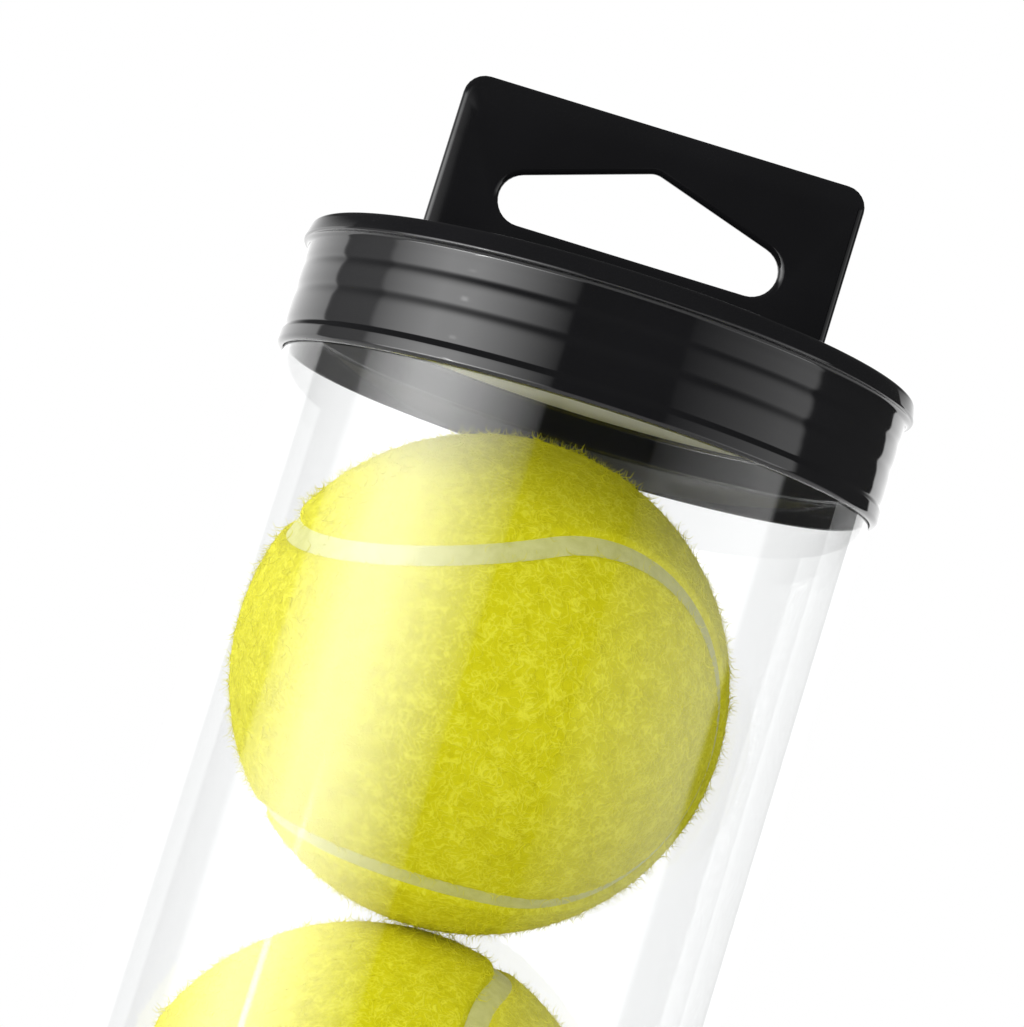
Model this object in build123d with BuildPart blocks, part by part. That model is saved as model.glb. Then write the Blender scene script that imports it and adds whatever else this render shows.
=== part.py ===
from build123d import *
import os
from math import acos, atan2, cos, degrees, radians, sin, sqrt, tan

# A clear tube that picks tennis balls up through its soft lower mouth. They come out under its lift-off cap.
# The origin is the middle of the base, on the floor. +Z runs up the tube, and the hang tab is flat along X.
# Every length is in millimetres and every angle in degrees.

# Balls, from the top of the stack down. offset is how far a ball lies to the side of the tube's axis, and
# turn is how its seam is turned about X, Y and Z.
ball_radius = 33.0
felt_thickness = 3.0
core_wall = 3.3
seam_width = 3.5
seam_recess = 0.6
seam_swing = 10.0
cone_tip = 0.05
ball_gap = 0.3
balls = {
    "ball_1": {"offset": -2.5, "turn": (128.8, -67.7, 116.6)},
    "ball_2": {"offset": 1.1, "turn": (111.5, 0.5, 26.8)},
    "ball_3": {"offset": 0.0, "turn": (35.0, -50.0, 20.0)},
}

# Clear tube
tube_outer_radius = 40.6
tube_wall = 0.7

# Section that the hang cap and the mouth collar share: a rim, a skirt outside the tube and a plug inside it
fit_clearance = 0.08
skirt_wall = 0.8
skirt_depth = 14.45
skirt_end_round = 0.2
groove_drop = 6.0
groove_width = 1.6
groove_depth = 0.12
bead_height = 2.0
bead_proud = 0.2
bead_round = 0.5
rim_proud = 1.0
rim_thickness = 2.65
rim_seat_round = 0.45
rim_outer_round = 0.9
rim_fillet = 0.4
plug_wall = 0.9
plug_depth = 10.85
plug_end_round = 0.3

# Hang cap
web_thickness = 1.2
web_depth = 6.45
web_fillet = 0.6
rim_mouth_round = 0.5
tab_width = 56.2
tab_height = 26.5
tab_thickness = 2.2
tab_corner_radius = 3.0
tab_edge_round = 0.7
slot_width = 38.9
slot_above_rim = 8.15
slot_end_radius = 3.5
slot_roof_angle = 17.7
slot_peak_radius = 2.5
gusset_pitch = 28.0
gusset_thickness = 1.2
gusset_reach = 9.0
gusset_height = 6.0

# Mouth collar with its soft retaining ring and tongues
lip_width = 3.0
lip_height = 1.5
ring_clearance = 0.05
ring_height = 5.0
tongue_count = 6
tongue_thickness = 1.2
tongue_gap = 0.3
tongue_root_width = 18.0
tongue_tip_width = 13.0
tongue_tip_hollow = 0.8
tongue_corner_radius = 2.0
tongue_edge_round = 0.4
tongue_hinge_inset = 2.0
tongue_contact_radius = 28.5

# Clearance of the stack above the floor and below the end of the cap's skirt
floor_gap = 3.5
skirt_gap = 1.7

# Radii that follow from the sizes above
tube_inner_radius = tube_outer_radius - tube_wall
skirt_inner_radius = tube_outer_radius + fit_clearance
skirt_outer_radius = skirt_inner_radius + skirt_wall
bead_radius = skirt_outer_radius + bead_proud
rim_radius = skirt_outer_radius + rim_proud
plug_outer_radius = tube_inner_radius - fit_clearance
plug_inner_radius = plug_outer_radius - plug_wall
lip_inner_radius = plug_inner_radius - lip_width
core_radius = ball_radius - felt_thickness
core_inner_radius = core_radius - core_wall
seam_radius = ball_radius - seam_recess

# Heights of the balls' centres: the lowest hangs above the floor, and each other leans on the one below it
centre_distance = 2 * ball_radius + ball_gap
centre_heights = {"ball_3": floor_gap + ball_radius}
for upper, lower in (("ball_2", "ball_3"), ("ball_1", "ball_2")):
    sideways = balls[upper]["offset"] - balls[lower]["offset"]
    centre_heights[upper] = centre_heights[lower] + sqrt(centre_distance**2 - sideways**2)

# Heights of the two seats of the tube and of the cap's faces
collar_seat = rim_thickness
cap_seat = centre_heights["ball_1"] + ball_radius + skirt_gap + skirt_depth
cap_top = cap_seat + rim_thickness
web_bottom = cap_seat - web_depth
web_top = web_bottom + web_thickness
tab_top = cap_top + tab_height

# The seam is four arcs of circles on the ball, each the edge of a cone with its tip cone_tip from the centre.
# The cones' axes swing seam_swing off the ball's equator, two up and two down, so that the felt is narrow
# between its two round lobes.
seam_cone = degrees(acos(cos(radians(seam_swing)) / sqrt(2)))
seam_half_angle = degrees(seam_width / 2 / ball_radius)
neck_cone = seam_cone + seam_half_angle
neck_crossing = acos(cos(radians(neck_cone)) / cos(radians(seam_swing)))
lobe_cone = degrees(acos(cos(radians(seam_swing)) * sin(neck_crossing)))

# Hinge and tip of a tongue, in the plane through the tube's axis
ring_top = lip_height + ring_height
hinge_radius = plug_inner_radius - tongue_hinge_inset
hinge_height = ring_top + tongue_gap + tongue_thickness / 2
tip_distance = ball_radius + ball_gap + tongue_thickness / 2
tip_height = centre_heights["ball_3"] - sqrt(tip_distance**2 - tongue_contact_radius**2)
tongue_run = hinge_radius - tongue_contact_radius
tongue_rise = tip_height - hinge_height
tongue_length = sqrt(tongue_run**2 + tongue_rise**2)
tongue_slope = atan2(tongue_rise, tongue_run)

os.makedirs("parts", exist_ok=True)


def save(part, name):
    part.label = name
    export_step(part, f"parts/{name}.step")


def end_section(seat, up, inner_points, inner_radii):
    """Half section of an end moulding, with its rim above the tube's seat if up is 1, or below it if up is -1.

    inner_points run from the rim's flat face back to the end of the plug.
    """
    groove_start = seat - up * groove_drop
    groove_end = groove_start - up * groove_width
    groove_radius = skirt_outer_radius - groove_depth
    bead_start = seat - up * (skirt_depth - bead_height)
    corners = [
        ((plug_outer_radius, seat - up * plug_depth), plug_end_round),
        ((plug_outer_radius, seat), 0),
        ((skirt_inner_radius, seat), 0),
        ((skirt_inner_radius, seat - up * skirt_depth), skirt_end_round),
        ((bead_radius, seat - up * skirt_depth), bead_round),
        ((bead_radius, bead_start), 0),
        ((skirt_outer_radius, bead_start + up * bead_proud), 0),
        ((skirt_outer_radius, groove_end - up * groove_depth), 0),
        ((groove_radius, groove_end), 0),
        ((groove_radius, groove_start), 0),
        ((skirt_outer_radius, groove_start + up * groove_depth), 0),
        ((skirt_outer_radius, seat), rim_fillet),
        ((rim_radius, seat), rim_seat_round),
        ((rim_radius, seat + up * rim_thickness), rim_outer_round),
    ]
    points = [point for point, _ in corners] + inner_points
    radii = [radius for _, radius in corners] + inner_radii
    with BuildSketch(Plane.XZ) as section:
        with BuildLine():
            FilletPolyline(*points, radius=radii, close=True)
        make_face()
    return section.sketch


def seam_planes(side_x, side_y, side_z):
    """Planes whose x_dir is the axis of a seam cone, one for each of the cones on the +Z or -Z side."""
    swing = radians(seam_swing)
    planes = []
    for side in (1, -1):
        axis = (side * side_x * cos(swing), side * side_y * cos(swing), side_z * sin(swing))
        planes.append(Plane(origin=(0, 0, 0), x_dir=axis, z_dir=(side * side_y, side * side_x, 0)))
    return planes


def shell_sector(plane, inner, outer, start, end, mode=Mode.ADD):
    """A sector of a spherical shell with conical edges, start and end degrees from the plane's x_dir."""
    reach = 2 * ball_radius
    tips = []
    for angle in (radians(start), radians(end)):
        lean = atan2(ball_radius * sin(angle), ball_radius * cos(angle) - cone_tip)
        tips.append((cone_tip + reach * cos(lean), reach * sin(lean)))
    with BuildSketch(plane) as sector:
        with BuildLine():
            Polyline((cone_tip, 0), tips[0], tips[1], close=True)
        make_face()
        with BuildSketch(mode=Mode.INTERSECT):
            Circle(outer)
            Circle(inner, mode=Mode.SUBTRACT)
    revolve(sector.sketch, axis=Axis((0, 0, 0), plane.x_dir), mode=mode)


with BuildPart() as clear_tube:
    with BuildSketch(Plane.XY.offset(collar_seat)):
        Circle(tube_outer_radius)
        Circle(tube_inner_radius, mode=Mode.SUBTRACT)
    extrude(amount=cap_seat - collar_seat)
save(clear_tube.part, "clear_tube")


with BuildPart() as hang_cap:
    cap_section = end_section(
        cap_seat,
        1,
        [
            (plug_inner_radius, cap_top),
            (plug_inner_radius, web_top),
            (0, web_top),
            (0, web_bottom),
            (plug_inner_radius, web_bottom),
            (plug_inner_radius, cap_seat - plug_depth),
        ],
        [rim_mouth_round, web_fillet, 0, 0, web_fillet, plug_end_round],
    )
    revolve(cap_section, axis=Axis.Z)

    # The tab stands on the web, deep inside the rim
    with BuildSketch(Plane.XZ) as tab_outline:
        with Locations((0, web_bottom)):
            Rectangle(tab_width, tab_top - web_bottom, align=(Align.CENTER, Align.MIN))
        fillet(tab_outline.vertices().group_by(Axis.Y)[-1], tab_corner_radius)
    extrude(amount=tab_thickness / 2, both=True)

    # The slot is flat below, with round ends and a roof that rises to a soft peak
    end_x = slot_width / 2 - slot_end_radius
    end_z = cap_top + slot_above_rim + slot_end_radius
    roof = radians(slot_roof_angle)
    peak_z = end_z + end_x * tan(roof) + (slot_end_radius - slot_peak_radius) / cos(roof)
    with BuildSketch(Plane.XZ):
        with Locations((-end_x, end_z), (end_x, end_z)):
            Circle(slot_end_radius)
        with Locations((0, peak_z)):
            Circle(slot_peak_radius)
        make_hull()
    extrude(amount=tab_thickness, both=True, mode=Mode.SUBTRACT)

    tab_faces = hang_cap.faces().filter_by(Axis.Y).sort_by(Axis.Y)
    tab_edges = ShapeList()
    for face in (tab_faces[0], tab_faces[-1]):
        tab_edges += [edge for edge in face.edges() if edge.center().Z > cap_top]
    fillet(tab_edges, tab_edge_round)

    # Gussets between the tab's foot and the web
    for side in (1, -1):
        for x in (-gusset_pitch / 2, gusset_pitch / 2):
            with BuildSketch(Plane.YZ.offset(x)):
                with BuildLine():
                    Polyline(
                        (0, web_bottom),
                        (side * (tab_thickness / 2 + gusset_reach), web_bottom),
                        (side * (tab_thickness / 2 + gusset_reach), web_top),
                        (side * tab_thickness / 2, web_top + gusset_height),
                        (0, web_top + gusset_height),
                        close=True,
                    )
                make_face()
            extrude(amount=gusset_thickness / 2, both=True)
save(hang_cap.part, "hang_cap")


with BuildPart() as mouth_collar:
    collar_section = end_section(
        collar_seat,
        -1,
        [
            (lip_inner_radius, 0),
            (lip_inner_radius, lip_height),
            (plug_inner_radius, lip_height),
            (plug_inner_radius, collar_seat + plug_depth),
        ],
        [rim_mouth_round, 0, 0, plug_end_round],
    )
    revolve(collar_section, axis=Axis.Z)
save(mouth_collar.part, "mouth_collar")


with BuildPart() as retaining_ring:
    with BuildSketch(Plane.XY.offset(lip_height)):
        Circle(plug_inner_radius - ring_clearance)
        Circle(lip_inner_radius, mode=Mode.SUBTRACT)
    extrude(amount=ring_height)
    fillet(retaining_ring.edges().sort_by(Axis.Z)[-1], tongue_edge_round)
save(retaining_ring.part, "retaining_ring")


def tongue(index):
    """One flexing tongue, with a straight root above the retaining ring and its tip under the lowest ball."""
    turn = radians(360 / tongue_count * index)
    outward = Vector(cos(turn), sin(turn), 0)
    along = Vector(-sin(turn), cos(turn), 0)
    hinge = outward * hinge_radius + Vector(0, 0, hinge_height)
    normal = outward * sin(tongue_slope) + Vector(0, 0, cos(tongue_slope))
    half_root, half_tip = tongue_root_width / 2, tongue_tip_width / 2
    reach = tongue_length + tongue_thickness / 2
    with BuildPart() as blade:
        with BuildSketch(Plane(origin=hinge, x_dir=along, z_dir=normal)) as outline:
            with BuildLine():
                Polyline((half_tip, reach), (half_root, 0), (-half_root, 0), (-half_tip, reach))
                ThreePointArc((-half_tip, reach), (0, reach - tongue_tip_hollow), (half_tip, reach))
            make_face()
            fillet(outline.vertices().group_by(Axis.Y)[-1], tongue_corner_radius)
        extrude(amount=tongue_thickness / 2, both=True)
        root = blade.edges().sort_by_distance(hinge)[0:2]
        fillet(root, tongue_edge_round)
    save(blade.part, f"retaining_tongue_{index + 1}")


for index in range(tongue_count):
    tongue(index)


# One ball's pieces about its own centre. The other half of the core and the other felt panel are turned over.
with BuildPart() as core_half:
    Sphere(core_radius)
    Sphere(core_inner_radius, mode=Mode.SUBTRACT)
    split(bisect_by=Plane.XY, keep=Keep.TOP)

with BuildPart() as felt_lobes:
    for plane in seam_planes(0, 1, -1):
        shell_sector(plane, core_radius, ball_radius, 0, lobe_cone)
    split(bisect_by=Plane.XY, keep=Keep.BOTTOM)

with BuildPart() as felt_panel:
    Sphere(ball_radius)
    Sphere(core_radius, mode=Mode.SUBTRACT)
    split(bisect_by=Plane.XY, keep=Keep.TOP)
    for plane in seam_planes(1, 0, 1):
        shell_sector(plane, core_inner_radius, ball_radius + core_wall, 0, neck_cone, Mode.SUBTRACT)
    add(felt_lobes.part)

with BuildPart() as seam_half:
    for plane in seam_planes(1, 0, 1):
        shell_sector(plane, core_radius, seam_radius, lobe_cone, neck_cone)
    split(bisect_by=Plane.XY, keep=Keep.TOP)

upright = Plane.XY
turned_over = Plane(origin=(0, 0, 0), x_dir=(0, 1, 0), z_dir=(0, 0, -1))
for name, ball in balls.items():
    place = Location((ball["offset"], 0, centre_heights[name]), ball["turn"])
    for half, plane in (("a", upright), ("b", turned_over)):
        for layer, piece in (("core", core_half), ("felt", felt_panel)):
            with BuildPart() as shell:
                with Locations(place * plane.location):
                    add(piece.part)
            save(shell.part, f"{name}_{layer}_{half}")
    with BuildPart() as seam:
        with Locations(place, place * turned_over.location):
            add(seam_half.part)
    save(seam.part, f"{name}_seam")
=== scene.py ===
from math import acos, atan2, cos, exp, pi, radians, sin, sqrt, tan

import bmesh
import bpy
from mathutils import Euler, Matrix, Vector


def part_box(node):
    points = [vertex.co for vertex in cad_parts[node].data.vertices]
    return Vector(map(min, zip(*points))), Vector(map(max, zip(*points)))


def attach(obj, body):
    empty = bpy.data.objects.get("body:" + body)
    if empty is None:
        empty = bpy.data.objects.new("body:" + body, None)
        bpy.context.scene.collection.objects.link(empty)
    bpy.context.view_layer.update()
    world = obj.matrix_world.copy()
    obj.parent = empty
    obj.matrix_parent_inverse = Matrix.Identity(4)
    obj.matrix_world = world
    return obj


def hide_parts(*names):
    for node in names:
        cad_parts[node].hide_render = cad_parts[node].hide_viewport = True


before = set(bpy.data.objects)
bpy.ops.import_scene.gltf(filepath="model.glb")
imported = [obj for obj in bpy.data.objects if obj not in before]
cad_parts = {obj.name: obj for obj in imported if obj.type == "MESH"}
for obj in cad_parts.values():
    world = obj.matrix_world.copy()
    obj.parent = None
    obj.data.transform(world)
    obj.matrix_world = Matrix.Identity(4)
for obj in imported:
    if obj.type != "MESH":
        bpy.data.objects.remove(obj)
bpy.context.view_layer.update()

# Sizes that the frame gives, in metres
TUBE_LOW, TUBE_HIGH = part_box("clear_tube")
_, CAP_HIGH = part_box("hang_cap")
TUBE_RADIUS = TUBE_HIGH.x
CAP_SEAT = TUBE_HIGH.z
COLLAR_SEAT = TUBE_LOW.z
RIM_RADIUS = CAP_HIGH.y
TAB_TOP = CAP_HIGH.z

# Walls and depths of the tube and its two end mouldings, in metres
TUBE_WALL = 0.0007
FIT = 0.00008
SKIRT_WALL = 0.0008
SKIRT_DEPTH = 0.01445
# Soft grooves round the skirt: drop from the rim, half width and depth
GROOVES = ((0.0031, 0.0008, 0.0001), (0.0068, 0.001, 0.00013), (0.0117, 0.0009, 0.00011))
BEAD_HEIGHT, BEAD_PROUD, BEAD_ROUND = 0.002, 0.0002, 0.00078
BEAD_EDGE, BEAD_TOP_ROUND, BEAD_FOOT_ROUND = 0.0002, 0.0007, 0.0003
# Grooved band of the skirt: its distance from the bead, and the spacing and number of its points
BAND_GAP, BAND_STEP, BAND_POINTS = 0.0006, 0.00015, 74
RIM_THICKNESS, RIM_TAPER = 0.00265, 0.0006
RIM_SEAT_ROUND, RIM_OUTER_ROUND, RIM_FILLET = 0.0003, 0.001, 0.0006
RIM_MOUTH_ROUND = 0.0005
PLUG_WALL, PLUG_DEPTH, PLUG_ROUND = 0.0009, 0.01085, 0.0003
WEB_THICKNESS, WEB_DEPTH, WEB_FILLET = 0.0012, 0.00645, 0.0006
LIP_WIDTH, LIP_HEIGHT = 0.003, 0.0015

# Hang tab
TAB_WIDTH, TAB_THICKNESS = 0.0562, 0.0022
TAB_CORNER, TAB_EDGE, TAB_EDGE_STEPS = 0.003, 0.001, 4
TAB_EDGE_ANGLE, TAB_SMOOTH_ANGLE = radians(60), radians(30)
SLOT_WIDTH, SLOT_ABOVE_RIM = 0.0389, 0.00815
SLOT_END, SLOT_PEAK, SLOT_ROOF = 0.0035, 0.0025, radians(17.7)
SLOT_END_STEPS, SLOT_PEAK_STEPS = 14, 6
GUSSET_PITCH, GUSSET_THICKNESS, GUSSET_REACH, GUSSET_HEIGHT = 0.028, 0.0012, 0.009, 0.006

# Balls
BALL_RADIUS = 0.033
SEAM_WIDTH, SEAM_RECESS, SEAM_SWING = 0.0035, 0.0006, radians(10)
SEAM_CONE = acos(cos(SEAM_SWING) / sqrt(2))
BALL_TURNS = {
    "ball_1": (128.8, -67.7, 116.6),
    "ball_2": (111.5, 0.5, 26.8),
    "ball_3": (35.0, -50.0, 20.0),
}

# Felt: its fibres, the rounding of its edges, and how far they stand over the seam
FIBRE_LENGTH, FIBRE_WIDTH, FIBRE_STEPS, FIBRES_PER_BALL = 0.0026, 0.00013, 3, 26000
FIBRE_CURL, FIBRE_TURN, FIBRE_SWAY, FIBRE_DROOP, FIBRE_TAPER = 0.35, 2.6, 0.25, 0.2, 0.7
FIBRE_LEAN = radians(30), radians(84)
FIBRE_SIZES, FIBRE_SIZE_POWER = (0.6, 1.0), 2.2
EDGE_ROUND, EDGE_START, EDGE_SINK, EDGE_OVERHANG = 0.0012, 0.0004, 0.0016, 0.0008
NAP_FROM, NAP_TO, SEAM_UNDER_FELT = -0.0006, 0.0002, 0.0012

# Mesh fineness, and the distances under which points are welded and faces count as level
ROUND_STEPS, BALL_SUBDIVISIONS = 192, 7
SMOOTH_ANGLE = radians(40)
BLANK_RADIUS = 0.01
WELD, FLAT = 0.000001, 0.00001


def deselect():
    if bpy.context.object and bpy.context.object.mode != "OBJECT":
        bpy.ops.object.mode_set(mode="OBJECT")
    bpy.ops.object.select_all(action="DESELECT")


def finish_piece(piece, name, body, material, nodes=()):
    """Puts a finished piece's place in its mesh, hangs it on its body and gives it its material."""
    deselect()
    piece.select_set(True)
    bpy.context.view_layer.objects.active = piece
    bpy.ops.object.transform_apply(location=True, rotation=True, scale=True)
    piece.name = name
    piece.data.name = name
    piece.data.materials.clear()
    piece.data.materials.append(material)
    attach(piece, body)
    if nodes:
        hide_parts(*nodes)
    return piece


def arc_points(centre, radius, start, end, steps=6):
    angles = [start + (end - start) * n / steps for n in range(steps + 1)]
    return [(centre[0] + radius * cos(angle), centre[1] + radius * sin(angle)) for angle in angles]


def rounded(corners):
    """Points of a closed outline whose corners are (x, z, radius)."""
    points = []
    count = len(corners)
    for n, (x, z, radius) in enumerate(corners):
        here = Vector((x, z))
        if radius == 0:
            points.append((x, z))
            continue
        back = (Vector(corners[n - 1][:2]) - here).normalized()
        ahead = (Vector(corners[(n + 1) % count][:2]) - here).normalized()
        half = acos(max(-1, min(1, back.dot(ahead)))) / 2
        reach = radius / tan(half)
        centre = here + (back + ahead).normalized() * (radius / sin(half))
        first, last = here + back * reach - centre, here + ahead * reach - centre
        start, end = atan2(first.y, first.x), atan2(last.y, last.x)
        if end - start > pi:
            end -= 2 * pi
        if start - end > pi:
            end += 2 * pi
        points += arc_points(centre, radius, start, end)
    return points


def spun(points, close_axis=False):
    """A solid turned round Z from an outline in the XZ plane."""
    deselect()
    bpy.ops.mesh.primitive_circle_add(vertices=len(points), radius=BLANK_RADIUS, fill_type="NOTHING")
    piece = bpy.context.object
    for vertex, (x, z) in zip(piece.data.vertices, points):
        vertex.co = (x, 0, z)
    bpy.ops.object.mode_set(mode="EDIT")
    bpy.ops.mesh.select_all(action="DESELECT")
    if close_axis:
        shape = bmesh.from_edit_mesh(piece.data)
        for edge in shape.edges:
            if all(corner.co.x < WELD for corner in edge.verts):
                edge.select_set(True)
        bmesh.update_edit_mesh(piece.data)
        bpy.ops.mesh.delete(type="EDGE_FACE")
    bpy.ops.mesh.select_all(action="SELECT")
    bpy.ops.mesh.spin(steps=ROUND_STEPS, angle=2 * pi, center=(0, 0, 0), axis=(0, 0, 1))
    bpy.ops.mesh.select_all(action="SELECT")
    bpy.ops.mesh.remove_doubles(threshold=WELD)
    bpy.ops.mesh.normals_make_consistent(inside=False)
    bpy.ops.object.mode_set(mode="OBJECT")
    bpy.ops.object.shade_smooth_by_angle(angle=SMOOTH_ANGLE)
    return piece


def end_outline(seat, up, inner):
    """Outline of an end moulding, rim above the tube's seat if up is 1, or below it if up is -1."""
    skirt_inner = TUBE_RADIUS + FIT
    skirt_outer = skirt_inner + SKIRT_WALL
    plug_outer = TUBE_RADIUS - TUBE_WALL - FIT
    band = []
    for n in range(BAND_POINTS):
        drop = SKIRT_DEPTH - BEAD_HEIGHT - BAND_GAP - BAND_STEP * n
        sunk = sum(depth * exp(-(((drop - at) / width) ** 2)) for at, width, depth in GROOVES)
        band.append((skirt_outer - sunk, seat - up * drop, 0))
    bead = seat - up * (SKIRT_DEPTH - BEAD_HEIGHT)
    return rounded(
        [
            (plug_outer, seat - up * PLUG_DEPTH, PLUG_ROUND),
            (plug_outer, seat, 0),
            (skirt_inner, seat, 0),
            (skirt_inner, seat - up * SKIRT_DEPTH, BEAD_EDGE),
            (skirt_outer + BEAD_PROUD, seat - up * SKIRT_DEPTH, BEAD_ROUND),
            (skirt_outer + BEAD_PROUD, bead, BEAD_TOP_ROUND),
            (skirt_outer, bead + up * BEAD_PROUD * 2, BEAD_FOOT_ROUND),
            *band,
            (skirt_outer, seat, RIM_FILLET),
            (RIM_RADIUS, seat, RIM_SEAT_ROUND),
            (RIM_RADIUS - RIM_TAPER, seat + up * RIM_THICKNESS, RIM_OUTER_ROUND),
        ]
        + inner
    )


def new_material(name):
    material = bpy.data.materials.new(name)
    material.use_nodes = True
    tree = material.node_tree
    return material, tree, tree.nodes["Principled BSDF"]


def add_node(tree, kind, **values):
    node = tree.nodes.new(kind)
    for key, value in values.items():
        if key in node.inputs:
            node.inputs[key].default_value = value
        else:
            setattr(node, key, value)
    return node


def surface_grain():
    """Node group from which the materials take their grain or flow marks."""
    group = bpy.data.node_groups.new("surface_grain", "ShaderNodeTree")
    for name in ("Scale", "Detail", "Roughness"):
        group.interface.new_socket(name, in_out="INPUT", socket_type="NodeSocketFloat")
    group.interface.new_socket("Stretch", in_out="INPUT", socket_type="NodeSocketVector")
    group.interface.new_socket("Grain", in_out="OUTPUT", socket_type="NodeSocketFloat")
    start, end = group.nodes.new("NodeGroupInput"), group.nodes.new("NodeGroupOutput")
    coordinates = add_node(group, "ShaderNodeTexCoord")
    stretched = add_node(group, "ShaderNodeVectorMath", operation="MULTIPLY")
    noise = add_node(group, "ShaderNodeTexNoise")
    group.links.new(coordinates.outputs["Object"], stretched.inputs[0])
    group.links.new(start.outputs["Stretch"], stretched.inputs[1])
    group.links.new(stretched.outputs["Vector"], noise.inputs["Vector"])
    for name in ("Scale", "Detail", "Roughness"):
        group.links.new(start.outputs[name], noise.inputs[name])
    group.links.new(noise.outputs["Fac"], end.inputs["Grain"])
    return group


GRAIN = surface_grain()


def object_noise(tree, scale, detail, stretch=(1, 1, 1), roughness=0.5):
    node = add_node(tree, "ShaderNodeGroup", node_tree=GRAIN)
    for name, value in (("Scale", scale), ("Detail", detail), ("Roughness", roughness), ("Stretch", stretch)):
        node.inputs[name].default_value = value
    return node.outputs["Grain"]


def ramp(tree, value, stops):
    node = add_node(tree, "ShaderNodeValToRGB")
    elements = node.color_ramp.elements
    while len(elements) < len(stops):
        elements.new(0.5)
    for element, (place, colour) in zip(elements, stops):
        element.position = place
        element.color = (*colour, 1)
    tree.links.new(value, node.inputs["Fac"])
    return node.outputs["Color"]


def bump(tree, shader, height, distance, strength=1.0):
    node = add_node(tree, "ShaderNodeBump", Strength=strength, Distance=distance)
    tree.links.new(height, node.inputs["Height"])
    tree.links.new(node.outputs["Normal"], shader.inputs["Normal"])


def see_through(tree, shader, share):
    """Lets light pass the surface by that share."""
    passing = add_node(tree, "ShaderNodeBsdfTransparent")
    mix = add_node(tree, "ShaderNodeMixShader")
    tree.links.new(share, mix.inputs["Fac"])
    tree.links.new(shader.outputs["BSDF"], mix.inputs[1])
    tree.links.new(passing.outputs["BSDF"], mix.inputs[2])
    tree.links.new(mix.outputs["Shader"], tree.nodes["Material Output"].inputs["Surface"])


def black_plastic():
    material, tree, shader = new_material("black_moulded_plastic")
    shader.inputs["Specular IOR Level"].default_value = 0.5
    flow = object_noise(tree, 60, 2, stretch=(0.35, 0.35, 2.0))
    bump(tree, shader, flow, 0.0006, 0.25)
    shade = object_noise(tree, 40, 3)
    black = ramp(tree, shade, [(0.3, (0.006, 0.006, 0.0065)), (0.7, (0.008, 0.008, 0.009))])
    gloss = ramp(tree, shade, [(0.3, (0.05,) * 3), (0.7, (0.09,) * 3)])
    tree.links.new(black, shader.inputs["Base Color"])
    tree.links.new(gloss, shader.inputs["Roughness"])
    return material


def painted_reflection_underside():
    """Pale satin underside of the cap's web; its pale colour is a painted reflection of the bright
    surroundings, which shows as a pale crescent.
    """
    material, _, shader = new_material("underside_painted_reflection")
    shader.inputs["Base Color"].default_value = (0.7, 0.7, 0.66, 1)
    shader.inputs["Roughness"].default_value = 0.35
    return material


def soft_rubber():
    material, tree, shader = new_material("soft_black_rubber")
    grain = object_noise(tree, 900, 4)
    tree.links.new(ramp(tree, grain, [(0.3, (0.018,) * 3), (0.7, (0.03,) * 3)]), shader.inputs["Base Color"])
    tree.links.new(ramp(tree, grain, [(0.3, (0.5,) * 3), (0.7, (0.65,) * 3)]), shader.inputs["Roughness"])
    bump(tree, shader, grain, 0.0001, 0.3)
    return material


def clear_plastic():
    material, tree, shader = new_material("clear_plastic")
    shader.inputs["Base Color"].default_value = (0.99, 0.995, 0.995, 1)
    shader.inputs["Transmission Weight"].default_value = 1.0
    shader.inputs["IOR"].default_value = 1.5
    shader.inputs["Roughness"].default_value = 0.0
    waves = object_noise(tree, 25, 1, stretch=(1, 1, 0.25))
    bump(tree, shader, waves, 0.0006, 0.12)
    see_through(tree, shader, add_node(tree, "ShaderNodeLightPath").outputs["Is Shadow Ray"])
    return material


CURL_SCALE, CURL_WANDER, CURL_WIDTH, CURL_HEIGHT = 520, 1.2, 0.05, 0.45


def curl_lines(tree, offset):
    """Fine light lines that wander like the curled fibres of felt."""
    coordinates = add_node(tree, "ShaderNodeTexCoord")
    mapping = add_node(tree, "ShaderNodeMapping")
    mapping.inputs["Location"].default_value = offset
    noise = add_node(tree, "ShaderNodeTexNoise", Scale=CURL_SCALE, Detail=1.0, Distortion=CURL_WANDER)
    tree.links.new(coordinates.outputs["Object"], mapping.inputs["Vector"])
    tree.links.new(mapping.outputs["Vector"], noise.inputs["Vector"])
    centred = add_node(tree, "ShaderNodeMath", operation="SUBTRACT")
    centred.inputs[1].default_value = 0.5
    tree.links.new(noise.outputs["Fac"], centred.inputs[0])
    apart = add_node(tree, "ShaderNodeMath", operation="ABSOLUTE")
    tree.links.new(centred.outputs[0], apart.inputs[0])
    line = add_node(tree, "ShaderNodeMapRange")
    line.inputs["From Min"].default_value = 0.0
    line.inputs["From Max"].default_value = CURL_WIDTH
    line.inputs["To Min"].default_value = 1.0
    line.inputs["To Max"].default_value = 0.0
    tree.links.new(apart.outputs[0], line.inputs["Value"])
    return line.outputs[0]


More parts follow.
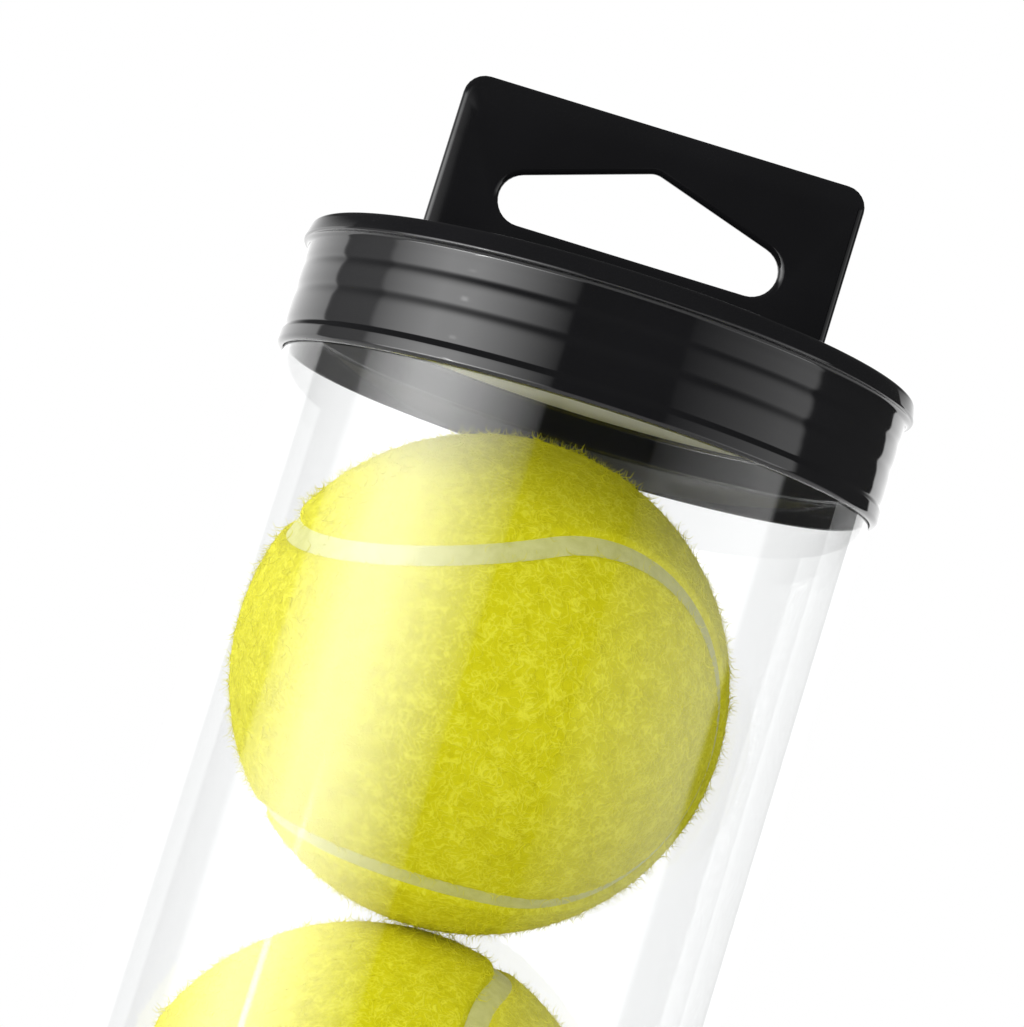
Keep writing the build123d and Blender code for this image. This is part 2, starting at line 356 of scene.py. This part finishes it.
def felt_material():
    material, tree, shader = new_material("optic_yellow_felt")
    lines = add_node(tree, "ShaderNodeMath", operation="MAXIMUM")
    tree.links.new(curl_lines(tree, (0, 0, 0)), lines.inputs[0])
    tree.links.new(curl_lines(tree, (0.3, 0.1, 0.2)), lines.inputs[1])
    patches = object_noise(tree, 420, 4, roughness=0.6)
    height = add_node(tree, "ShaderNodeMath", operation="MULTIPLY_ADD")
    height.inputs[1].default_value = CURL_HEIGHT
    tree.links.new(lines.outputs[0], height.inputs[0])
    tree.links.new(patches, height.inputs[2])
    yellows = [(0.3, (0.68, 0.64, 0.006)), (0.6, (0.76, 0.72, 0.012)), (1.0, (0.88, 0.85, 0.05))]
    ground = ramp(tree, height.outputs[0], yellows)
    # Fibres carry no nap value, so they and the felt's edges by the seam take a paler yellow: a painted sheen
    # on the fuzz
    nap = add_node(tree, "ShaderNodeAttribute", attribute_name="nap")
    colour = add_node(tree, "ShaderNodeMix", data_type="RGBA")
    tree.links.new(nap.outputs["Fac"], colour.inputs[0])
    tree.links.new(ground, colour.inputs[7])
    colour.inputs[6].default_value = (0.93, 0.89, 0.16, 1)
    tree.links.new(colour.outputs[2], shader.inputs["Base Color"])
    shader.inputs["Roughness"].default_value = 0.95
    shader.inputs["Specular IOR Level"].default_value = 0.1
    bump(tree, shader, height.outputs[0], 0.0004, 0.4)
    return material


def seam_material():
    material, tree, shader = new_material("cream_seam_rubber")
    grain = object_noise(tree, 700, 4)
    creams = [(0.3, (0.64, 0.64, 0.23)), (0.7, (0.74, 0.74, 0.31))]
    tree.links.new(ramp(tree, grain, creams), shader.inputs["Base Color"])
    shader.inputs["Roughness"].default_value = 0.6
    bump(tree, shader, grain, 0.0002, 0.4)
    return material


BLACK = black_plastic()
RUBBER = soft_rubber()
CLEAR = clear_plastic()
UNDERSIDE_PAINTED_REFLECTION = painted_reflection_underside()
FELT = felt_material()
SEAM = seam_material()


def build_tube():
    deselect()
    height = CAP_SEAT - COLLAR_SEAT
    bpy.ops.mesh.primitive_cylinder_add(
        vertices=ROUND_STEPS, radius=TUBE_RADIUS, depth=height, end_fill_type="NOTHING",
        location=(0, 0, COLLAR_SEAT + height / 2),
    )
    tube = bpy.context.object
    wall = tube.modifiers.new("wall", "SOLIDIFY")
    wall.thickness = TUBE_WALL
    wall.offset = -1
    bpy.ops.object.modifier_apply(modifier="wall")
    bpy.ops.object.shade_smooth_by_angle(angle=SMOOTH_ANGLE)
    finish_piece(tube, "clear_wall", "tube", CLEAR, ["clear_tube"])


def build_cap():
    plug_inner = TUBE_RADIUS - TUBE_WALL - FIT - PLUG_WALL
    top = CAP_SEAT + RIM_THICKNESS
    web_low = CAP_SEAT - WEB_DEPTH
    web_high = web_low + WEB_THICKNESS
    inner = [
        (plug_inner, top, RIM_MOUTH_ROUND),
        (plug_inner, web_high, WEB_FILLET),
        (0, web_high, 0),
        (0, web_low, 0),
        (plug_inner, web_low, WEB_FILLET),
        (plug_inner, CAP_SEAT - PLUG_DEPTH, PLUG_ROUND),
    ]
    ring = spun(end_outline(CAP_SEAT, 1, inner), close_axis=True)
    finish_piece(ring, "cap_moulding", "top_cap", BLACK, ["hang_cap"])
    # The web's underside gets the pale material, a painted reflection on the black plastic
    ring.data.materials.append(UNDERSIDE_PAINTED_REFLECTION)
    for face in ring.data.polygons:
        if abs(face.center.z - web_low) < FLAT:
            face.material_index = 1


def slot_outline():
    end_x = SLOT_WIDTH / 2 - SLOT_END
    end_z = CAP_SEAT + RIM_THICKNESS + SLOT_ABOVE_RIM + SLOT_END
    peak_z = end_z + end_x * tan(SLOT_ROOF) + (SLOT_END - SLOT_PEAK) / cos(SLOT_ROOF)
    points = arc_points((end_x, end_z), SLOT_END, -pi / 2, pi / 2 - SLOT_ROOF, SLOT_END_STEPS)
    points += arc_points((0, peak_z), SLOT_PEAK, pi / 2 - SLOT_ROOF, pi / 2 + SLOT_ROOF, SLOT_PEAK_STEPS)
    points += arc_points((-end_x, end_z), SLOT_END, pi / 2 + SLOT_ROOF, 3 * pi / 2, SLOT_END_STEPS)
    return points


def flat_prism(points, thickness):
    """A flat piece in the XZ plane, centred on Y, from an outline."""
    deselect()
    bpy.ops.mesh.primitive_circle_add(vertices=len(points), radius=BLANK_RADIUS, fill_type="NGON")
    piece = bpy.context.object
    for vertex, (x, z) in zip(piece.data.vertices, points):
        vertex.co = (x, -thickness / 2, z)
    bpy.ops.object.mode_set(mode="EDIT")
    bpy.ops.mesh.select_all(action="SELECT")
    bpy.ops.mesh.extrude_region_move(TRANSFORM_OT_translate={"value": (0, thickness, 0)})
    bpy.ops.mesh.select_all(action="SELECT")
    bpy.ops.mesh.normals_make_consistent(inside=False)
    bpy.ops.object.mode_set(mode="OBJECT")
    return piece


def apply_modifier(piece, name, kind, **values):
    deselect()
    piece.select_set(True)
    bpy.context.view_layer.objects.active = piece
    modifier = piece.modifiers.new(name, kind)
    for key, value in values.items():
        setattr(modifier, key, value)
    bpy.ops.object.modifier_apply(modifier=name)


def build_tab():
    foot = CAP_SEAT - WEB_DEPTH + WEB_THICKNESS
    side = TAB_WIDTH / 2
    outline = rounded(
        [(-side, foot, 0), (side, foot, 0), (side, TAB_TOP, TAB_CORNER), (-side, TAB_TOP, TAB_CORNER)]
    )
    tab = flat_prism(outline, TAB_THICKNESS)
    cutter = flat_prism(slot_outline(), 3 * TAB_THICKNESS)
    apply_modifier(tab, "slot", "BOOLEAN", object=cutter, operation="DIFFERENCE", solver="EXACT")
    bpy.data.objects.remove(cutter)
    edges = {"width": TAB_EDGE, "segments": TAB_EDGE_STEPS, "limit_method": "ANGLE"}
    apply_modifier(tab, "edge", "BEVEL", **edges, angle_limit=TAB_EDGE_ANGLE)
    bpy.ops.object.shade_smooth_by_angle(angle=TAB_SMOOTH_ANGLE)
    finish_piece(tab, "hang_tab", "top_cap", BLACK)
    for side in (1, -1):
        for x in (-GUSSET_PITCH / 2, GUSSET_PITCH / 2):
            deselect()
            bpy.ops.mesh.primitive_cube_add(size=1)
            gusset = bpy.context.object
            near, far = side * TAB_THICKNESS / 2, side * (TAB_THICKNESS / 2 + GUSSET_REACH)
            for vertex in gusset.data.vertices:
                u, v, w = vertex.co
                y = far if v > 0 else near
                z = foot if w < 0 or v > 0 else foot + GUSSET_HEIGHT
                vertex.co = (x + u * GUSSET_THICKNESS, y, z)
            apply_modifier(gusset, "weld", "WELD", merge_threshold=WELD)
            bpy.ops.object.mode_set(mode="EDIT")
            bpy.ops.mesh.select_all(action="SELECT")
            bpy.ops.mesh.normals_make_consistent(inside=False)
            bpy.ops.object.mode_set(mode="OBJECT")
            place = ("right" if x > 0 else "left") + ("_back" if side > 0 else "_front")
            finish_piece(gusset, f"tab_gusset_{place}", "top_cap", BLACK)


def build_collar():
    plug_inner = TUBE_RADIUS - TUBE_WALL - FIT - PLUG_WALL
    lip_inner = plug_inner - LIP_WIDTH
    inner = [
        (lip_inner, 0, RIM_MOUTH_ROUND),
        (lip_inner, LIP_HEIGHT, 0),
        (plug_inner, LIP_HEIGHT, 0),
        (plug_inner, COLLAR_SEAT + PLUG_DEPTH, PLUG_ROUND),
    ]
    ring = spun(end_outline(COLLAR_SEAT, -1, inner))
    finish_piece(ring, "collar_moulding", "tube", BLACK, ["mouth_collar"])


def seam_distance(point):
    """Distance in metres along the ball from the seam, positive on felt panel a and negative on panel b."""
    x, y, z = point
    if z >= 0:
        nearest = max(abs(x) * cos(SEAM_SWING) + z * sin(SEAM_SWING), -1)
        return (acos(min(1, nearest)) - SEAM_CONE) * BALL_RADIUS
    nearest = max(abs(y) * cos(SEAM_SWING) - z * sin(SEAM_SWING), -1)
    return (SEAM_CONE - acos(min(1, nearest))) * BALL_RADIUS


def smooth_step(value, low, high):
    share = max(0, min(1, (value - low) / (high - low)))
    return share * share * (3 - 2 * share)


def ball_skin(name, wanted):
    """Part of a fine ball, about the origin, that keeps the faces whose corners are all wanted."""
    deselect()
    bpy.ops.mesh.primitive_ico_sphere_add(subdivisions=BALL_SUBDIVISIONS, radius=1)
    piece = bpy.context.object
    bpy.ops.object.mode_set(mode="EDIT")
    bpy.ops.mesh.select_all(action="DESELECT")
    shape = bmesh.from_edit_mesh(piece.data)
    for vertex in shape.verts:
        vertex.select_set(not wanted(vertex.co.normalized()))
    shape.select_flush(False)
    bmesh.update_edit_mesh(piece.data)
    bpy.ops.mesh.delete(type="VERT")
    bpy.ops.object.mode_set(mode="OBJECT")
    piece.name = name
    return piece


def make_fibre():
    """One curved, tapered felt fibre that stands on the origin."""
    deselect()
    bpy.ops.mesh.primitive_grid_add(x_subdivisions=1, y_subdivisions=FIBRE_STEPS, size=1)
    fibre = bpy.context.object
    for vertex in fibre.data.vertices:
        side, share = vertex.co.x, vertex.co.y + 0.5
        x = FIBRE_LENGTH * FIBRE_CURL * sin(FIBRE_TURN * share)
        y = FIBRE_LENGTH * FIBRE_SWAY * share * share
        z = FIBRE_LENGTH * (share - FIBRE_DROOP * share * share)
        vertex.co = (x + side * FIBRE_WIDTH * (1 - FIBRE_TAPER * share), y, z)
    fibre.name = "felt_fibre"
    return fibre


def nap_group(fibre):
    """Geometry nodes that stand and lay fibres all over a felt panel."""
    group = bpy.data.node_groups.new("felt_nap", "GeometryNodeTree")
    group.interface.new_socket("Geometry", in_out="INPUT", socket_type="NodeSocketGeometry")
    seed = group.interface.new_socket("Seed", in_out="INPUT", socket_type="NodeSocketInt")
    group.interface.new_socket("Geometry", in_out="OUTPUT", socket_type="NodeSocketGeometry")
    nodes, links = group.nodes, group.links
    start, end = nodes.new("NodeGroupInput"), nodes.new("NodeGroupOutput")
    spread = nodes.new("GeometryNodeDistributePointsOnFaces")
    reach = nodes.new("GeometryNodeInputNamedAttribute")
    reach.data_type = "FLOAT"
    reach.inputs["Name"].default_value = "nap"
    density = nodes.new("ShaderNodeMath")
    density.operation = "MULTIPLY"
    density.inputs[1].default_value = FIBRES_PER_BALL / (4 * pi * BALL_RADIUS**2)
    links.new(reach.outputs["Attribute"], density.inputs[0])
    links.new(start.outputs["Geometry"], spread.inputs["Mesh"])
    links.new(density.outputs["Value"], spread.inputs["Density"])
    links.new(start.outputs["Seed"], spread.inputs["Seed"])
    place = nodes.new("GeometryNodeInstanceOnPoints")
    source = nodes.new("GeometryNodeObjectInfo")
    source.inputs["Object"].default_value = fibre
    links.new(spread.outputs["Points"], place.inputs["Points"])
    links.new(source.outputs["Geometry"], place.inputs["Instance"])
    links.new(spread.outputs["Rotation"], place.inputs["Rotation"])
    length = nodes.new("FunctionNodeRandomValue")
    length.data_type = "FLOAT"
    length.inputs[2].default_value, length.inputs[3].default_value = FIBRE_SIZES
    shorten = nodes.new("ShaderNodeMath")
    shorten.operation = "POWER"
    shorten.inputs[1].default_value = FIBRE_SIZE_POWER
    links.new(length.outputs[1], shorten.inputs[0])
    links.new(shorten.outputs[0], place.inputs["Scale"])
    lean = nodes.new("FunctionNodeRandomValue")
    lean.data_type = "FLOAT_VECTOR"
    lean.inputs[0].default_value = (0, FIBRE_LEAN[0], -pi)
    lean.inputs[1].default_value = (0, FIBRE_LEAN[1], pi)
    spin = nodes.new("GeometryNodeRotateInstances")
    links.new(place.outputs["Instances"], spin.inputs["Instances"])
    split = nodes.new("ShaderNodeSeparateXYZ")
    links.new(lean.outputs[0], split.inputs[0])
    turn = nodes.new("ShaderNodeCombineXYZ")
    links.new(split.outputs["Z"], turn.inputs["Z"])
    links.new(turn.outputs[0], spin.inputs["Rotation"])
    tilt = nodes.new("GeometryNodeRotateInstances")
    tip = nodes.new("ShaderNodeCombineXYZ")
    links.new(split.outputs["Y"], tip.inputs["Y"])
    links.new(spin.outputs["Instances"], tilt.inputs["Instances"])
    links.new(tip.outputs[0], tilt.inputs["Rotation"])
    real = nodes.new("GeometryNodeRealizeInstances")
    links.new(tilt.outputs["Instances"], real.inputs[0])
    join = nodes.new("GeometryNodeJoinGeometry")
    links.new(real.outputs[0], join.inputs[0])
    links.new(start.outputs["Geometry"], join.inputs[0])
    links.new(join.outputs[0], end.inputs[0])
    return group, seed.identifier


def build_balls():
    half_seam = SEAM_WIDTH / 2 - EDGE_OVERHANG
    fibre = make_fibre()
    nap, seed_socket = nap_group(fibre)
    for index, (ball, turn) in enumerate(BALL_TURNS.items()):
        low, high = Vector((1, 1, 1)), Vector((-1, -1, -1))
        for half in "ab":
            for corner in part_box(f"{ball}_felt_{half}"):
                low = Vector(map(min, low, corner))
                high = Vector(map(max, high, corner))
        centre = (low + high) / 2
        place = Matrix.Translation(centre) @ Euler([radians(a) for a in turn], "ZYX").to_matrix().to_4x4()
        for half, side in (("a", 1), ("b", -1)):
            skin = ball_skin("felt", lambda p: side * seam_distance(p) > -half_seam)
            nap_reach = skin.data.attributes.new("nap", "FLOAT", "POINT")
            for vertex in skin.data.vertices:
                direction = vertex.co.normalized()
                inward = side * seam_distance(direction)
                rise = smooth_step(inward, half_seam - EDGE_START, half_seam + EDGE_ROUND)
                vertex.co = direction * (BALL_RADIUS - EDGE_SINK * (1 - rise))
                standing = smooth_step(inward, half_seam + NAP_FROM, half_seam + NAP_TO)
                nap_reach.data[vertex.index].value = standing
            bpy.ops.object.shade_smooth()
            modifier = skin.modifiers.new("nap", "NODES")
            modifier.node_group = nap
            modifier[seed_socket] = 10 * index + (side > 0)
            bpy.ops.object.modifier_apply(modifier="nap")
            skin.matrix_world = place
            finish_piece(skin, f"{ball}_panel_{half}", ball, FELT, [f"{ball}_felt_{half}"])
        strip = ball_skin("seam", lambda p: abs(seam_distance(p)) < half_seam + SEAM_UNDER_FELT)
        for vertex in strip.data.vertices:
            vertex.co = vertex.co.normalized() * (BALL_RADIUS - SEAM_RECESS)
        bpy.ops.object.shade_smooth()
        strip.matrix_world = place
        finish_piece(strip, f"{ball}_seam_strip", ball, SEAM, [f"{ball}_seam"])
    bpy.data.objects.remove(fibre)


build_tube()
build_cap()
build_tab()
build_collar()
build_balls()
for name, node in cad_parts.items():
    if name.startswith("retaining") or "_core_" in name:
        node.data.materials.clear()
        node.data.materials.append(RUBBER)

# Camera: its place, and how far it is turned, tipped up and rolled, so that the tube leans in the picture
EYE = Vector((0.00168, -0.42, 0.1568))
TURN, TIP, LEAN = radians(-0.919), radians(4.764), radians(17.184)
PICTURE_HEIGHT, FOCAL_PIXELS, SENSOR = 1027, 3170, 36.0
NEAREST = 0.01


def place_camera():
    forward = Vector((sin(TURN) * cos(TIP), cos(TURN) * cos(TIP), sin(TIP)))
    right = forward.cross(Vector((-sin(LEAN), 0, cos(LEAN)))).normalized()
    up = right.cross(forward)
    lens = bpy.data.cameras.new("camera")
    lens.sensor_width = SENSOR
    lens.lens = FOCAL_PIXELS / PICTURE_HEIGHT * SENSOR
    lens.clip_start = NEAREST
    camera = bpy.data.objects.new("camera", lens)
    camera.matrix_world = Matrix.Translation(EYE) @ Matrix((right, up, -forward)).transposed().to_4x4()
    bpy.context.scene.collection.objects.link(camera)
    bpy.context.scene.camera = camera


# Lamps: azimuth and elevation in degrees, width and height in metres, and radiance.
# Azimuth is seen from above, from the camera's side, and is positive to the camera's right.
LAMPS = {
    "front_box": (-20, 14, 0.5, 1.2, 4.0),
    "left_box": (-112, 8, 1.0, 1.8, 3.7),
    "right_box": (60, 0, 0.9, 1.6, 0.25),
}
LAMP_DISTANCE = 1.1
LAMP_AIM = Vector((0, 0, 0.14))


def add_softbox(name, azimuth, elevation, width, height, radiance):
    """A rectangular lamp that faces the tube and isn't mirrored in it."""
    lamp = bpy.data.lights.new(name, "AREA")
    lamp.shape = "RECTANGLE"
    lamp.size, lamp.size_y = width, height
    lamp.energy = radiance * width * height * pi
    box = bpy.data.objects.new(name, lamp)
    azimuth, elevation = radians(azimuth), radians(elevation)
    towards = Vector((sin(azimuth) * cos(elevation), -cos(azimuth) * cos(elevation), sin(elevation)))
    box.location = LAMP_AIM + towards * LAMP_DISTANCE
    box.rotation_euler = towards.to_track_quat("Z", "Y").to_euler()
    box.visible_glossy = False
    box.visible_transmission = False
    bpy.context.scene.collection.objects.link(box)


# World: a plain level for diffuse light, white behind the object, and the studio that glossy surfaces mirror
AMBIENT = 0.66
BACKDROP, BACKDROP_THROUGH_TUBE = 1.0, 1.05
# Level of the studio above and below its boxes, and the level that the ramp's white stands for
SPILL, BRIGHTEST = 0.06, 6.0
# The studio round the tube, by azimuth in degrees and level
BACKDROP_LEFT = ((-180, 1.6), (-119, 1.6))
LEFT_FLAG = ((-118, 0.3), (-90.5, 0.7))
LEFT_BOX = ((-89.5, 1.5), (-63, 5.1), (-50, 5.0), (-24, 1.6), (-14, 0.4))
FRONT_FLAG = ((-13.5, 0.03), (28.5, 0.03))
RIGHT_BOX = ((29.2, 0.15), (74, 1.35), (84, 1.4))
RIGHT_FLAG = ((84.8, 0.1), (139.5, 0.05))
BACKDROP_RIGHT = ((140.5, 1.6), (180, 1.6))
STUDIO = BACKDROP_LEFT + LEFT_FLAG + LEFT_BOX + FRONT_FLAG + RIGHT_BOX + RIGHT_FLAG + BACKDROP_RIGHT
# Elevations over which it fades in at the foot and out at the top
BOX_LOW, BOX_HIGH = (radians(-60), radians(-48)), (radians(7), radians(22))
# Stronger glow of its foot: the elevations over which that ends, its share, and the azimuths where it ends
LOW_GLOW, LOW_GLOW_LEVEL = (radians(-24), radians(-12)), 2.8
GLOW_SIDES = radians(86), radians(92)
# A narrow bright strip in the left box, and the elevations over which it ends at the top
LINE_AZIMUTH, LINE_WIDTH, LINE_LEVEL = radians(-53.4), radians(3), 6.0
LINE_TOP = radians(-6), radians(0.6)
# A ray that hasn't bounced has a depth under this, and one that runs on away from the camera has a Y over it
NO_BOUNCE, ONWARD = 0.5, 0.5


def feed(tree, socket, value):
    """Gives a socket a number or joins another node's output to it."""
    if isinstance(value, (int, float)):
        socket.default_value = value
    else:
        tree.links.new(value, socket)


def math_node(tree, operation, *values):
    node = add_node(tree, "ShaderNodeMath", operation=operation)
    for socket, value in zip(node.inputs, values):
        feed(tree, socket, value)
    return node.outputs[0]


def step_node(tree, value, low, high, before=0.0, after=1.0):
    node = add_node(tree, "ShaderNodeMapRange")
    node.interpolation_type = "SMOOTHSTEP"
    for name, number in (("From Min", low), ("From Max", high), ("To Min", before), ("To Max", after)):
        node.inputs[name].default_value = number
    tree.links.new(value, node.inputs["Value"])
    return node.outputs[0]


def choose(tree, share, otherwise, chosen):
    node = add_node(tree, "ShaderNodeMix", data_type="FLOAT")
    for place, value in ((0, share), (2, otherwise), (3, chosen)):
        feed(tree, node.inputs[place], value)
    return node.outputs[0]


def studio_level(tree, azimuth, elevation):
    """Brightness of the studio in a direction, as the glossy surfaces mirror it."""
    around = math_node(tree, "MULTIPLY_ADD", azimuth, 1 / (2 * pi), 0.5)
    stops = [((degrees_round + 180) / 360, (level / BRIGHTEST,) * 3) for degrees_round, level in STUDIO]
    level = math_node(tree, "MULTIPLY", ramp(tree, around, stops), BRIGHTEST)
    off_line = math_node(tree, "ABSOLUTE", math_node(tree, "SUBTRACT", azimuth, LINE_AZIMUTH))
    line = step_node(tree, off_line, LINE_WIDTH / 3, LINE_WIDTH / 2, LINE_LEVEL, 0.0)
    line = math_node(tree, "MULTIPLY", line, step_node(tree, elevation, *LINE_TOP, 1.0, 0.0))
    level = math_node(tree, "ADD", level, line)
    in_front = step_node(tree, math_node(tree, "ABSOLUTE", azimuth), *GLOW_SIDES, 1.0, 0.0)
    low_glow = math_node(tree, "MULTIPLY", in_front, step_node(tree, elevation, *LOW_GLOW, 1.0, 0.0))
    glow = math_node(tree, "MULTIPLY_ADD", low_glow, LOW_GLOW_LEVEL - 1, 1.0)
    level = math_node(tree, "MULTIPLY", level, glow)
    rising = step_node(tree, elevation, *BOX_LOW)
    falling = step_node(tree, elevation, *BOX_HIGH, 1.0, 0.0)
    window = math_node(tree, "MULTIPLY", rising, falling)
    return math_node(tree, "MULTIPLY_ADD", math_node(tree, "SUBTRACT", level, SPILL), window, SPILL)


def build_studio():
    world = bpy.data.worlds.new("studio")
    world.use_nodes = True
    bpy.context.scene.world = world
    tree = world.node_tree
    tree.nodes.clear()
    path = add_node(tree, "ShaderNodeLightPath")
    where = add_node(tree, "ShaderNodeTexCoord")
    split = add_node(tree, "ShaderNodeSeparateXYZ")
    tree.links.new(where.outputs["Generated"], split.inputs[0])
    to_front = math_node(tree, "MULTIPLY", split.outputs["Y"], -1.0)
    azimuth = math_node(tree, "ARCTAN2", split.outputs["X"], to_front)
    elevation = math_node(tree, "ARCSINE", split.outputs["Z"])
    mirrored = studio_level(tree, azimuth, elevation)
    # Rays that go straight on through the tube see white. Those thrown back inside its wall see the studio.
    direct = math_node(tree, "LESS_THAN", path.outputs["Diffuse Depth"], NO_BOUNCE)
    passed = math_node(tree, "MULTIPLY", path.outputs["Is Transmission Ray"], direct)
    onward = math_node(tree, "GREATER_THAN", split.outputs["Y"], ONWARD)
    straight = math_node(tree, "LESS_THAN", path.outputs["Glossy Depth"], NO_BOUNCE)
    through = math_node(tree, "MULTIPLY", passed, math_node(tree, "MAXIMUM", onward, straight))
    thrown_back = math_node(tree, "MAXIMUM", path.outputs["Is Glossy Ray"], passed)
    glossy = math_node(tree, "MULTIPLY", thrown_back, direct)
    strength = choose(tree, glossy, AMBIENT, mirrored)
    strength = choose(tree, through, strength, BACKDROP_THROUGH_TUBE)
    strength = choose(tree, path.outputs["Is Camera Ray"], strength, BACKDROP)
    background = add_node(tree, "ShaderNodeBackground", Color=(1, 1, 1, 1))
    tree.links.new(strength, background.inputs["Strength"])
    output = add_node(tree, "ShaderNodeOutputWorld")
    tree.links.new(background.outputs[0], output.inputs["Surface"])


FLOOR_RADIUS, FLOOR_CORNERS, FLOOR_FADE, FLOOR_WHITE = 0.65, 96, (0.25, 0.6), 0.9


def build_floor():
    """A floor that keeps the shadow near the tube, fades out away from it and can't be seen from below."""
    deselect()
    bpy.ops.mesh.primitive_circle_add(vertices=FLOOR_CORNERS, radius=FLOOR_RADIUS, fill_type="NGON")
    floor = bpy.context.object
    floor.name = "floor"
    material, tree, shader = new_material("pale_floor")
    shader.inputs["Base Color"].default_value = (FLOOR_WHITE, FLOOR_WHITE, FLOOR_WHITE, 1)
    shader.inputs["Roughness"].default_value = 0.9
    shader.inputs["Specular IOR Level"].default_value = 0.1
    where = add_node(tree, "ShaderNodeTexCoord")
    far = add_node(tree, "ShaderNodeVectorMath", operation="LENGTH")
    tree.links.new(where.outputs["Object"], far.inputs[0])
    faded = step_node(tree, far.outputs["Value"], *FLOOR_FADE)
    from_below = add_node(tree, "ShaderNodeNewGeometry").outputs["Backfacing"]
    see_through(tree, shader, math_node(tree, "MAXIMUM", faded, from_below))
    floor.data.materials.append(material)


place_camera()
for name, (azimuth, elevation, width, height, radiance) in LAMPS.items():
    add_softbox(name, azimuth, elevation, width, height, radiance)
build_studio()
build_floor()

bpy.context.scene.view_settings.view_transform = "Standard"
